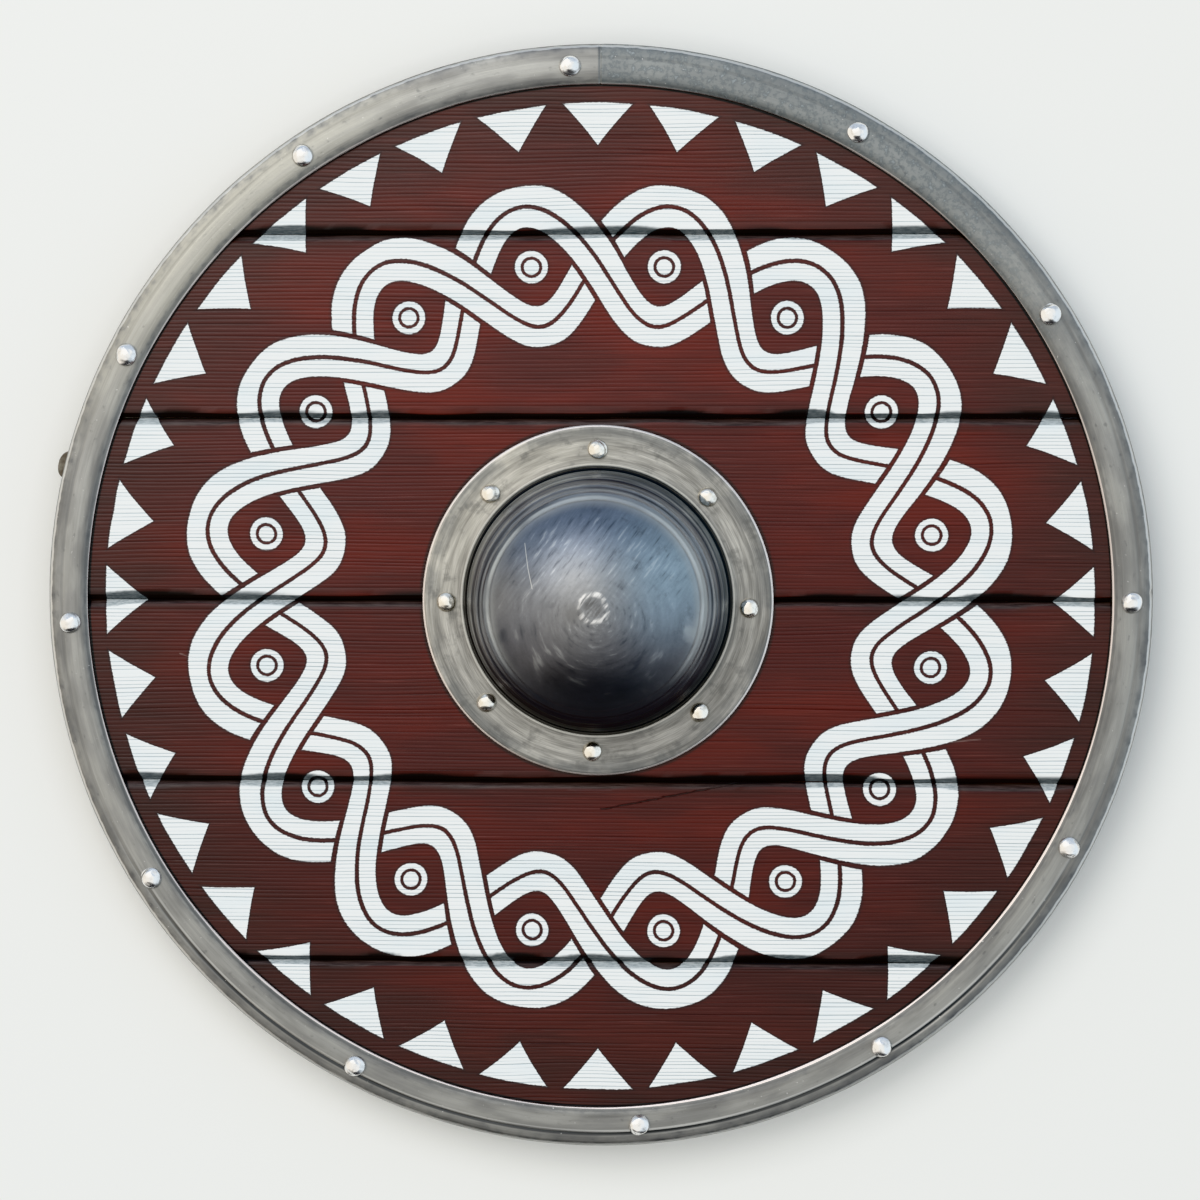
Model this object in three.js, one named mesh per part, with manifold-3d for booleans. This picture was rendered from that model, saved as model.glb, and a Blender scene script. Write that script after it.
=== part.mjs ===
// A round wooden shield with a steel rim and a steel boss, lying on its back.
//
// Millimetres. +Z is the shield's axis and points out of its painted face; the planks run along X.
// The origin is on the axis, level with the flat backs of the three bars that the shield lies on.

import * as THREE from 'three';
import { mergeVertices } from 'three/addons/utils/BufferGeometryUtils.js';
import Module from 'manifold-3d';

const wasm = await Module();
wasm.setup();

// ---- Driving dimensions ----

const SHIELD_R = 305;
const GAP = 0.3; // kept between pieces that touch

const BAR_T = 18; // the grip and the battens behind the board
const BOARD_T = 12;
const BOARD_BACK = BAR_T + GAP;
const BOARD_FRONT = BOARD_BACK + BOARD_T;

const BOARD_R = 302;
const PLANK_COUNT = 6;
const PLANK_W = (2 * BOARD_R) / PLANK_COUNT;
const JOINT_CHAMFER = 3; // width and depth of the bevel on each side of a joint
const HAND_HOLE_R = 60;

const RIM_W = 22.5;
const RIM_SHEET = 1.5;
const RIM_CROWN = 3.3; // height of the band's crown over the board
const RIM_RIVET_R = 293; // where the rivets stand, from the axis
const RIM_RIVET_DEG = [93, 61, 32.5, 0, -27.5, -57.5, -85.5, -117.5, -148, -177.5, 152.5, 123.5];

const BOSS_SHEET = 1.6;
const FLANGE_R = 97;
const DOME_R = 72;
const DOME_H = 62; // over the flange
const FLANGE_BEND = 2.5; // size of the bend between the dome and the flange
const BOSS_RIVET_R = 83.5;
const BOSS_RIVET_DEG = [90, 43.5, -2.5, -47.5, -92, -137.5, -179.5, 135];

const SHANK_R = 2.3;
const HOLE_R = 2.9;
const RIM_HEAD = { radius: 6, height: 3.6 };
const BOSS_HEAD = { radius: 5.5, height: 3.8 };
const TAIL = { radius: 4.6, height: 1.5 }; // the hammered end of a rivet
const TAIL_RECESS = { radius: 6.5, depth: 3.5 }; // sinks a tail into the back of the grip

const GRIP_HALF_LENGTH = 262;
const GRIP_END_HALF_W = 17;
const GRIP_HAND_HALF_W = 14;
const GRIP_HAND_HALF_LENGTH = 52; // the stretch that is rounded for the hand
const BATTEN_X = 150;
const BATTEN_HALF_W = 16;
const BATTEN_HALF_LENGTH = 218;
const BAR_RAMP = 24; // length of the slope at each end of a bar
const BAR_TIP_T = 8; // what is left of the thickness at the tip

const SCREW = { headR: 4.2, headDepth: 3, shankR: 1.9, length: 26, sunk: 0.4 };

const TAB_DEG = 166;
const TAB_W = 15.5;
const TAB_T = 3;
const TAB_FROM_R = 240;
const TAB_TO_R = 311;
const TAB_NAIL_R = 256;

// ---- Facets ----

const RIM_SIDES = 60;
const BOSS_SIDES = 40;
const HOLE_SIDES = 32;
const SPINDLE_SIDES = 12;
const RECESS_SIDES = 12;
const FASTENER_SIDES = 8;
const DOME_OUTSIDE_STEPS = 6;
const DOME_INSIDE_STEPS = 4;

// ---- Materials ----

const stainedWood = new THREE.MeshStandardMaterial({ color: 0x4a1712, roughness: 0.45 });
const bareWood = new THREE.MeshStandardMaterial({ color: 0x6b4a30, roughness: 0.7 });
const rimSteel = new THREE.MeshStandardMaterial({ color: 0x8a8983, roughness: 0.4, metalness: 1 });
const bossSteel = new THREE.MeshStandardMaterial({ color: 0x5d6470, roughness: 0.35, metalness: 1 });
const rivetSteel = new THREE.MeshStandardMaterial({ color: 0xb9b7b0, roughness: 0.3, metalness: 1 });
const leather = new THREE.MeshStandardMaterial({ color: 0x7d7a6e, roughness: 0.85 });

// ---- Helpers ----

const polar = (radius, degrees) => {
  const angle = THREE.MathUtils.degToRad(degrees);
  return [radius * Math.cos(angle), radius * Math.sin(angle)];
};

const outline = (points) => new THREE.Shape(points.map(([x, y]) => new THREE.Vector2(x, y)));

// Turns a list of [radius, height] round the Z axis.
function turned(profile, sides) {
  const points = profile.map(([radius, height]) => new THREE.Vector2(radius, height));
  return new THREE.LatheGeometry(points, sides).rotateX(Math.PI / 2);
}

// A round bar along Z, from height low to height high.
function rod(radius, low, high, sides) {
  const bar = new THREE.CylinderGeometry(radius, radius, high - low, sides).rotateX(Math.PI / 2);
  return bar.translate(0, 0, (low + high) / 2);
}

// An outline in X and Y, raised from height low to height high.
function raised(shape, low, high) {
  const block = new THREE.ExtrudeGeometry(shape, { depth: high - low, bevelEnabled: false });
  return block.translate(0, 0, low);
}

// An outline in Y and Z, drawn along X over a width centred on zero.
function drawnAlongX(shape, width) {
  const bar = new THREE.ExtrudeGeometry(shape, { depth: width, bevelEnabled: false });
  return bar.translate(0, 0, -width / 2).rotateX(Math.PI / 2).rotateZ(Math.PI / 2);
}

// A closed geometry as a solid that can be joined and cut.
function solid(geometry) {
  const bare = geometry.index ? geometry.clone() : mergeVertices(geometry);
  bare.deleteAttribute('normal');
  bare.deleteAttribute('uv');
  const merged = mergeVertices(bare, 1e-3);
  const corners = merged.index.array;
  const triangles = [];
  for (let i = 0; i < corners.length; i += 3) {
    const [a, b, c] = corners.slice(i, i + 3);
    if (a !== b && b !== c && c !== a) triangles.push(a, b, c);
  }
  return new wasm.Manifold(
    new wasm.Mesh({
      numProp: 3,
      vertProperties: Float32Array.from(merged.attributes.position.array),
      triVerts: Uint32Array.from(triangles),
    }),
  );
}

function geometryOf(body) {
  const { vertProperties, triVerts } = body.getMesh();
  const geometry = new THREE.BufferGeometry();
  geometry.setAttribute('position', new THREE.BufferAttribute(vertProperties, 3));
  geometry.setIndex(new THREE.BufferAttribute(triVerts, 1));
  return geometry;
}

const without = (body, cutters) => cutters.reduce((rest, cutter) => rest.subtract(cutter), body);

const shield = new THREE.Group();

function addPiece(name, geometry, material, [x, y, z] = [0, 0, 0]) {
  const mesh = new THREE.Mesh(geometry, material);
  mesh.name = name;
  mesh.position.set(x, y, z);
  shield.add(mesh);
}

// ---- Where the fasteners go ----

const rimRivets = RIM_RIVET_DEG.map((degrees) => polar(RIM_RIVET_R, degrees));
const bossRivets = BOSS_RIVET_DEG.map((degrees) => polar(BOSS_RIVET_R, degrees));

// The two boss rivets above and below the dome also go through the grip.
const throughGrip = ([x]) => Math.abs(x) < GRIP_HAND_HALF_W;

const plankMiddle = (index) => (PLANK_COUNT / 2 - index - 0.5) * PLANK_W;
const battenScrews = [-BATTEN_X, BATTEN_X].flatMap((x) =>
  [1, 2, 3, 4].map((index) => [x, plankMiddle(index)]),
);
const gripScrews = [1, 4].map((index) => [0, plankMiddle(index)]);
const screws = [...battenScrews, ...gripScrews];

const rivetHoles = [...rimRivets, ...bossRivets].map(([x, y]) =>
  solid(rod(HOLE_R, -1, BOARD_FRONT + 10, FASTENER_SIDES).translate(x, y, 0)),
);

// A countersunk screw seen from the back: its head's face is at its own height zero.
function screwProfile(spare) {
  return [
    [0, 0],
    [SCREW.headR + spare, 0],
    [SCREW.shankR + spare, SCREW.headDepth],
    [SCREW.shankR + spare, SCREW.length + spare],
    [0, SCREW.length + spare],
  ];
}

const screwHoles = screws.map(([x, y]) => {
  const mouth = solid(rod(SCREW.headR + GAP, -1, SCREW.sunk + 0.01, FASTENER_SIDES));
  const sleeve = solid(turned(screwProfile(GAP), FASTENER_SIDES).translate(0, 0, SCREW.sunk));
  return mouth.add(sleeve).translate([x, y, 0]);
});

// ---- Board: six planks side by side, bevelled along their joints ----

const boardDisc = solid(
  turned(
    [
      [0, BOARD_BACK],
      [BOARD_R - 3, BOARD_BACK],
      [BOARD_R, BOARD_BACK + 3],
      [BOARD_R, BOARD_FRONT - 4],
      [BOARD_R - 4, BOARD_FRONT],
      [0, BOARD_FRONT],
    ],
    RIM_SIDES,
  ),
);
const handHole = solid(rod(HAND_HOLE_R, BOARD_BACK - 1, BOARD_FRONT + 1, HOLE_SIDES));

function plankSection(middle) {
  const low = middle - PLANK_W / 2 + GAP / 2;
  const high = middle + PLANK_W / 2 - GAP / 2;
  return outline([
    [low, BOARD_BACK],
    [high, BOARD_BACK],
    [high, BOARD_FRONT - JOINT_CHAMFER],
    [high - JOINT_CHAMFER, BOARD_FRONT],
    [low + JOINT_CHAMFER, BOARD_FRONT],
    [low, BOARD_FRONT - JOINT_CHAMFER],
  ]);
}

const tabPlace = polar(TAB_NAIL_R, TAB_DEG);
const tabNailHole = solid(rod(1.8, 0, BOARD_BACK + 9, FASTENER_SIDES).translate(...tabPlace, 0));

for (let index = 0; index < PLANK_COUNT; index += 1) {
  const strip = solid(drawnAlongX(plankSection(plankMiddle(index)), 2 * SHIELD_R));
  const round = strip.intersect(boardDisc);
  const plank = without(round, [handHole, tabNailHole, ...rivetHoles, ...screwHoles]);
  addPiece(`plank_${index + 1}`, geometryOf(plank), stainedWood);
}

// ---- Rim: one strip of sheet folded over the edge of the board ----

// The outside of the fold as [inset from the rim's outside, height over the board's face].
const rimOutside = [
  [RIM_W, GAP + RIM_SHEET],
  [RIM_W - 5.5, RIM_CROWN],
  [9, RIM_CROWN - 0.2],
  [2.2, RIM_CROWN - 1.7],
  [0, RIM_CROWN - 4.5],
  [0, -BOARD_T + 3.5],
  [3.5, -BOARD_T - GAP - RIM_SHEET],
  [RIM_W, -BOARD_T - GAP - RIM_SHEET],
].map(([inset, height]) => new THREE.Vector2(SHIELD_R - inset, BOARD_FRONT + height));

// The same line moved inwards by the sheet's thickness, square to each stretch.
function movedInwards(line, distance) {
  const rightOf = (from, to) => {
    const along = to.clone().sub(from).normalize();
    return new THREE.Vector2(along.y, -along.x);
  };
  return line.map((point, index) => {
    const before = rightOf(line[Math.max(index - 1, 0)], line[Math.max(index, 1)]);
    const last = line.length - 1;
    const after = rightOf(line[Math.min(index, last - 1)], line[Math.min(index + 1, last)]);
    const middle = before.clone().add(after).normalize();
    return point.clone().addScaledVector(middle, distance / middle.dot(before));
  });
}

const rimInside = movedInwards(rimOutside, RIM_SHEET);
const rimProfile = [...rimOutside, ...rimInside.reverse(), rimOutside[0]].reverse();
const rimHoop = solid(turned(rimProfile.map(({ x, y }) => [x, y]), RIM_SIDES));
addPiece('rim', geometryOf(without(rimHoop, rivetHoles)), rimSteel);

// ---- Boss: a dome and flange spun from one sheet ----

// Points up a dome's side, from its foot to its top on the axis.
function domeLine(radius, foot, height, steps) {
  const side = Array.from({ length: steps }, (_, step) => (step / steps) * (Math.PI / 2));
  const points = side.map((angle) => [radius * Math.cos(angle), foot + height * Math.sin(angle)]);
  return [...points, [0, foot + height]];
}

const flangeTop = GAP + BOSS_SHEET;
const bossProfile = [
  ...domeLine(DOME_R - BOSS_SHEET, GAP, DOME_H, DOME_INSIDE_STEPS).reverse(),
  [FLANGE_R, GAP],
  [FLANGE_R, flangeTop],
  [DOME_R + FLANGE_BEND, flangeTop],
  ...domeLine(DOME_R, flangeTop + FLANGE_BEND, DOME_H - FLANGE_BEND, DOME_OUTSIDE_STEPS),
];
const bossShell = solid(turned(bossProfile, BOSS_SIDES).translate(0, 0, BOARD_FRONT));
addPiece('boss', geometryOf(without(bossShell, rivetHoles)), bossSteel);

// ---- Rivets: a domed head in front, a shank, and a hammered tail behind ----

function rivet(head, length) {
  const profile = [
    [0, -length - TAIL.height],
    [TAIL.radius, -length],
    [SHANK_R, -length],
    [SHANK_R, 0],
    [head.radius, 0],
    [head.radius * 0.87, head.height * 0.5],
    [head.radius * 0.5, head.height * 0.87],
    [0, head.height],
  ];
  return turned(profile, FASTENER_SIDES);
}

const rimSeat = BOARD_FRONT + RIM_CROWN + GAP;
const rimBack = BOARD_BACK - GAP - RIM_SHEET;
rimRivets.forEach(([x, y], index) => {
  const shape = rivet(RIM_HEAD, rimSeat - rimBack + GAP);
  addPiece(`rim_rivet_${index + 1}`, shape, rivetSteel, [x, y, rimSeat]);
});

const bossSeat = BOARD_FRONT + flangeTop + GAP;
bossRivets.forEach(([x, y], index) => {
  const tailSeat = throughGrip([x]) ? TAIL_RECESS.depth : BOARD_BACK;
  const shape = rivet(BOSS_HEAD, bossSeat - tailSeat + GAP);
  addPiece(`boss_rivet_${index + 1}`, shape, rivetSteel, [x, y, bossSeat]);
});

// ---- Grip and battens: three bars across the planks, flat behind ----

// The side of a bar in Y and Z, with a slope behind at each tip.
function barSide(halfLength) {
  const rise = BAR_T - BAR_TIP_T;
  return outline([
    [-halfLength + BAR_RAMP, 0],
    [halfLength - BAR_RAMP, 0],
    [halfLength, rise],
    [halfLength, BAR_T],
    [-halfLength, BAR_T],
    [-halfLength, rise],
  ]);
}

const sinks = bossRivets
  .filter(throughGrip)
  .map(([x, y]) => solid(rod(TAIL_RECESS.radius, -1, TAIL_RECESS.depth, RECESS_SIDES).translate(x, y, 0)));

// The grip's plan narrows to the hand's width, and the handhold is rounded by a long spindle.
const waistY = GRIP_HAND_HALF_LENGTH;
const shoulderY = waistY + 16;
const gripPlan = outline([
  [-GRIP_END_HALF_W, -GRIP_HALF_LENGTH],
  [GRIP_END_HALF_W, -GRIP_HALF_LENGTH],
  [GRIP_END_HALF_W, -shoulderY],
  [GRIP_HAND_HALF_W, -waistY],
  [GRIP_HAND_HALF_W, waistY],
  [GRIP_END_HALF_W, shoulderY],
  [GRIP_END_HALF_W, GRIP_HALF_LENGTH],
  [-GRIP_END_HALF_W, GRIP_HALF_LENGTH],
  [-GRIP_END_HALF_W, shoulderY],
  [-GRIP_HAND_HALF_W, waistY],
  [-GRIP_HAND_HALF_W, -waistY],
  [-GRIP_END_HALF_W, -shoulderY],
]);
const spindleR = GRIP_HAND_HALF_W + 0.4;
const clearR = GRIP_END_HALF_W + BAR_T;
const spindleProfile = [
  [0, -GRIP_HALF_LENGTH - 1],
  [clearR, -GRIP_HALF_LENGTH - 1],
  [clearR, -shoulderY - 6],
  [spindleR, -waistY],
  [spindleR, waistY],
  [clearR, shoulderY + 6],
  [clearR, GRIP_HALF_LENGTH + 1],
  [0, GRIP_HALF_LENGTH + 1],
];
const spindle = turned(spindleProfile, SPINDLE_SIDES).rotateX(-Math.PI / 2).translate(0, 0, BAR_T / 2);
const gripBlank = solid(raised(gripPlan, -1, BAR_T + 1))
  .intersect(solid(drawnAlongX(barSide(GRIP_HALF_LENGTH), 4 * GRIP_END_HALF_W)))
  .intersect(solid(spindle));
addPiece('grip', geometryOf(without(gripBlank, [...sinks, ...rivetHoles, ...screwHoles])), bareWood);

const battenBlank = solid(drawnAlongX(barSide(BATTEN_HALF_LENGTH), 2 * BATTEN_HALF_W));
for (const [name, x] of [['batten_left', -BATTEN_X], ['batten_right', BATTEN_X]]) {
  const batten = without(battenBlank.translate([x, 0, 0]), screwHoles);
  addPiece(name, geometryOf(batten), bareWood);
}

screws.forEach(([x, y], index) => {
  const shape = turned(screwProfile(0), FASTENER_SIDES);
  addPiece(`bar_screw_${index + 1}`, shape, rivetSteel, [x, y, SCREW.sunk]);
});

// ---- Hanging tab: a leather strap end nailed behind the board, which reaches past the rim ----

const tabBend = SHIELD_R - RIM_W;
const tabSide = [
  [TAB_FROM_R, BOARD_BACK - GAP],
  [tabBend - 6, BOARD_BACK - GAP],
  [tabBend - 1, rimBack - GAP],
  [TAB_TO_R, rimBack - GAP],
  [TAB_TO_R, rimBack - GAP - TAB_T],
  [tabBend - 1, rimBack - GAP - TAB_T],
  [tabBend - 6, BOARD_BACK - GAP - TAB_T],
  [TAB_FROM_R, BOARD_BACK - GAP - TAB_T],
];
const tabCorner = 5; // how far the outer corners are cut back
const tabPlan = outline([
  [TAB_FROM_R, -TAB_W / 2],
  [TAB_TO_R - tabCorner, -TAB_W / 2],
  [TAB_TO_R, -TAB_W / 2 + tabCorner],
  [TAB_TO_R, TAB_W / 2 - tabCorner],
  [TAB_TO_R - tabCorner, TAB_W / 2],
  [TAB_FROM_R, TAB_W / 2],
]);
const tabStrip = drawnAlongX(outline(tabSide), 2 * TAB_W).rotateZ(-Math.PI / 2);
const tab = solid(tabStrip)
  .intersect(solid(raised(tabPlan, 0, BOARD_FRONT)))
  .rotate([0, 0, TAB_DEG])
  .subtract(tabNailHole);
addPiece('hanging_tab', geometryOf(tab), leather);

const nailSeat = BOARD_BACK - 2 * GAP - TAB_T;
const nailProfile = [
  [0, -1.4],
  [3.2, -0.9],
  [4, 0],
  [1.3, 0],
  [1.3, TAB_T + 8],
  [0, TAB_T + 8],
];
addPiece('tab_nail', turned(nailProfile, FASTENER_SIDES), rivetSteel, [...tabPlace, nailSeat]);

export default shield;
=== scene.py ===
"""A round wooden shield, face up on a pale floor: six planks, a folded steel rim and a domed steel boss."""

import bpy
import numpy as np
from mathutils import Matrix, Vector


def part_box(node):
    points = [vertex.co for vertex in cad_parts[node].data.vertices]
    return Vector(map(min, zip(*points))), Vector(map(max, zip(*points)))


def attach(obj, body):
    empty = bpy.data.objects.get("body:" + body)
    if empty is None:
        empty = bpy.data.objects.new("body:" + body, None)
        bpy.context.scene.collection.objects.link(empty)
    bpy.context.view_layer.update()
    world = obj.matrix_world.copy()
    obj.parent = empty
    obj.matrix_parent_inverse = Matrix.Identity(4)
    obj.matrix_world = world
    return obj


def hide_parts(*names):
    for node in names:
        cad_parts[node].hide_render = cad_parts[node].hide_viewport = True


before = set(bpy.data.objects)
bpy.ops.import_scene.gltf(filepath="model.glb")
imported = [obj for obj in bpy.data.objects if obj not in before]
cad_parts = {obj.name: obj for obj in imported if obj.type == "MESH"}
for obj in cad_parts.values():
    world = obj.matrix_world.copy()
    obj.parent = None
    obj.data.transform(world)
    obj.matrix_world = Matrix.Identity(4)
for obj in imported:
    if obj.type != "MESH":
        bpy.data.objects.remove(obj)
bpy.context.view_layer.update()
MM = 0.001


# ---- Camera, floor and light -------------------------------------------------------------------------------
# The shield is looked down on from two metres, a little from its top right. It lies on a plain pale floor under a
# wide soft light at its top left. The room is bright, warmer on the left, cooler on the right, bluer past the top
# edge and dim on the near side.

CAMERA_PLACE = Vector((0.078, 0.135, 2.0))
CAMERA_AIM = Vector((0.0012, 0.0003, 0.03))
CAMERA_LENS = 107.4
CAMERA_SENSOR = 36.0
LAMP_PLACE = (-0.9, 1.3, 2.3)
LAMP_SIZE = (2.0, 1.6)
LAMP_WATTS = 26
LAMP_COLOUR = (1.0, 0.985, 0.96)
ROOM_DIM = (0.055, 0.055, 0.06, 1)
FLOOR_REACH = 4.0
FLOOR_COLOUR = (0.86, 0.86, 0.83, 1)
FLOOR_ROUGHNESS = 0.8

scene = bpy.context.scene
scene.view_settings.view_transform = "Khronos PBR Neutral"
lens = bpy.data.cameras.new("camera")
lens.lens = CAMERA_LENS
lens.sensor_width = CAMERA_SENSOR
camera = bpy.data.objects.new("camera", lens)
scene.collection.objects.link(camera)
backwards = (CAMERA_PLACE - CAMERA_AIM).normalized()
sideways = Vector((0, 1, 0)).cross(backwards).normalized()
upwards = backwards.cross(sideways)
camera_turn = Matrix((sideways, upwards, backwards)).transposed()
camera.matrix_world = Matrix.Translation(CAMERA_PLACE) @ camera_turn.to_4x4()
scene.camera = camera

lamp = bpy.data.lights.new("window", "AREA")
lamp.shape = "RECTANGLE"
lamp.size, lamp.size_y = LAMP_SIZE
lamp.energy = LAMP_WATTS
lamp.color = LAMP_COLOUR
window = bpy.data.objects.new("window", lamp)
window.location = LAMP_PLACE
window.rotation_euler = (-window.location).to_track_quat("-Z", "Y").to_euler()
scene.collection.objects.link(window)

room = bpy.data.worlds.new("room")
room.use_nodes = True
scene.world = room
room_tree = room.node_tree
direction = room_tree.nodes.new("ShaderNodeTexCoord")
lean = room_tree.nodes.new("ShaderNodeSeparateXYZ")
room_tree.links.new(direction.outputs["Generated"], lean.inputs[0])
room_colour = None
# Each tint spreads over the room as the direction's lean to one axis goes from start to end.
for axis, start, end, tint in (
    ("Y", -0.86, -0.50, (1.08, 1.08, 1.06, 1)),
    ("X", 0.05, 0.75, (0.92, 1.03, 1.13, 1)),
    ("X", -0.05, -0.75, (1.15, 1.09, 1.00, 1)),
    ("Y", 0.25, 0.85, (0.58, 0.67, 0.80, 1)),
    ("Y", -0.60, -0.86, ROOM_DIM),
):
    share = room_tree.nodes.new("ShaderNodeMapRange")
    share.interpolation_type = "SMOOTHSTEP"
    share.inputs["From Min"].default_value = start
    share.inputs["From Max"].default_value = end
    room_tree.links.new(lean.outputs[axis], share.inputs["Value"])
    blend = room_tree.nodes.new("ShaderNodeMix")
    blend.data_type = "RGBA"
    blend.inputs[6].default_value = ROOM_DIM
    blend.inputs[7].default_value = tint
    if room_colour:
        room_tree.links.new(room_colour, blend.inputs[6])
    room_tree.links.new(share.outputs["Result"], blend.inputs[0])
    room_colour = blend.outputs[2]
room_tree.links.new(room_colour, room_tree.nodes["Background"].inputs["Color"])

floor_mesh = bpy.data.meshes.new("floor")
floor_corners = [(-FLOOR_REACH, -FLOOR_REACH, 0), (FLOOR_REACH, -FLOOR_REACH, 0)]
floor_corners += [(FLOOR_REACH, FLOOR_REACH, 0), (-FLOOR_REACH, FLOOR_REACH, 0)]
floor_mesh.from_pydata(floor_corners, [], [(0, 1, 2, 3)])
floor = bpy.data.objects.new("floor", floor_mesh)
scene.collection.objects.link(floor)
pale = bpy.data.materials.new("pale floor")
pale.use_nodes = True
pale_shader = pale.node_tree.nodes["Principled BSDF"]
pale_shader.inputs["Base Color"].default_value = FLOOR_COLOUR
pale_shader.inputs["Roughness"].default_value = FLOOR_ROUGHNESS
floor_mesh.materials.append(pale)


# ---- Planks ------------------------------------------------------------------------------------------------
# Six softwood boards lie edge to edge, bevelled by hand along their joints. They were combed along the grain with a
# steel brush, stained dark red-brown and lacquered, and the silver-white ornament is painted over the grooves. The
# two middle ones share the hand hole behind the boss.


def box_of(node):
    """A node's lowest and highest corners, in millimetres, as all sizes from here on are."""
    return [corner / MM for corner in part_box(node)]


plank_low, plank_high = box_of("plank_3")
BOARD_BACK, BOARD_FRONT = plank_low.z, plank_high.z
PLANK_W = 2 * plank_high.x / 6
BOARD_R = plank_high.x - 3.2  # its edge is hidden in the fold of the rim
PLANK_OUTER_Y = BOARD_R - 1.5
HAND_HOLE_R = 60.0
BEVEL = 3.0
BEVEL_EASE = 0.22  # how softly the bevel's edge is worn
BEVEL_WANDER = 0.35
GROOVE_PITCH = 2.1
GROOVE_HALF_W = 0.42
GROOVE_DEPTH = 0.13
GROOVE_WANDER = 0.45
# Where the five rows of a groove lie, as (half widths aside, depth).
GROOVE_CROSSINGS = np.array([(-1, 0), (-0.5, 0.7), (0, 1), (0.5, 0.7), (1, 0)])
CUPPING = 0.10
BEVEL_ROWS = np.array([0.7, 1.4, 2.0, 2.5])  # where the mesh's rows cross a bevel, from the joint
PLANK_COLUMNS = 60  # from the middle to each end


def streaks(random, rows, columns, across, along):
    """White noise blurred by `across` rows and `along` columns: its spectrum times a Gaussian, at unit
    spread."""
    spectrum = np.fft.rfft2(random.standard_normal((rows, columns)))
    row_rate = np.fft.fftfreq(rows)[:, None] * across
    column_rate = np.fft.rfftfreq(columns)[None, :] * along
    blur = np.exp(-2 * np.pi**2 * (row_rate**2 + column_rate**2))
    field = np.fft.irfft2(spectrum * blur, s=(rows, columns))
    return field / field.std()


def ease(value, start, end):
    """0 before start, 1 after end and a smooth rise between; it falls where start is over end."""
    share = np.clip((value - start) / (end - start), 0, 1)
    return share * share * (3 - 2 * share)


def grid_faces(rows, columns, closed_rows=False, closed_columns=False):
    """The quads of a rows x columns grid of points numbered row by row, closed on itself where asked."""
    row = np.arange(rows if closed_rows else rows - 1)[:, None]
    column = np.arange(columns if closed_columns else columns - 1)[None, :]
    next_row, next_column = (row + 1) % rows, (column + 1) % columns
    corners = [row * columns + column, row * columns + next_column]
    corners += [next_row * columns + next_column, next_row * columns + column]
    return np.stack([np.broadcast_to(c, (row.size, column.size)).ravel() for c in corners], axis=1)


def without_repeats(faces):
    """Faces with all their corners, then those that meet a pole and have one corner twice, without it."""
    twice = faces == np.roll(faces, -1, axis=1)
    count = twice.sum(axis=1)
    return [faces[count == 0], faces[count == 1][~twice[count == 1]].reshape(-1, faces.shape[1] - 1)]


def add_piece(name, points, faces, material, node, values=None, smooth=0.6):
    """Makes the mesh of a finished piece in its place from points in millimetres, and hides the node it stands
    for. Points that coincide to a micron are welded. Values are numbers that the material reads at each point.
    Edges sharper than smooth (radians) show."""
    points = np.asarray(points, float).reshape(-1, 3)
    microns = np.round(points * 1000).astype(np.int64)
    _, kept, welded = np.unique(microns, axis=0, return_index=True, return_inverse=True)
    welded = welded.ravel()
    polygons = [part for block in faces for part in without_repeats(welded[block])]
    mesh = bpy.data.meshes.new(name)
    mesh.from_pydata((points[kept] * MM).tolist(), [], [face for block in polygons for face in block.tolist()])
    for label, numbers in (values or {}).items():
        store = mesh.attributes.new(label, "FLOAT", "POINT")
        store.data.foreach_set("value", np.asarray(numbers, np.float32).ravel()[kept])
    mesh.validate()
    mesh.shade_smooth()
    mesh.set_sharp_from_angle(angle=smooth)
    mesh.materials.append(material)
    piece = bpy.data.objects.new(name, mesh)
    scene.collection.objects.link(piece)
    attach(piece, "root")
    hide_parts(node)


def combed_rows(random, first, last, extra):
    """Where the mesh's rows cross a plank: five at each groove, one on each ridge and the extra ones. With
    each row go its groove's number and how deep in it the row is, from 0 to 1."""
    pitches = GROOVE_PITCH * random.uniform(0.84, 1.16, int((last - first) / GROOVE_PITCH / 0.8))
    middles = first + 0.6 * GROOVE_PITCH + np.cumsum(pitches)
    middles = middles[middles < last - GROOVE_HALF_W]
    y = (middles[:, None] + GROOVE_HALF_W * GROOVE_CROSSINGS[:, 0]).ravel()
    form = np.tile(GROOVE_CROSSINGS[:, 1], middles.size)
    number = np.repeat(np.arange(middles.size), GROOVE_CROSSINGS.shape[0])
    ridges = np.concatenate([(middles[1:] + middles[:-1]) / 2, extra])
    order = np.argsort(np.concatenate([y, ridges]), kind="stable")
    flat = np.zeros(ridges.size)
    return [np.concatenate(pair)[order] for pair in ((y, ridges), (form, flat), (number, flat.astype(int)))]


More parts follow.
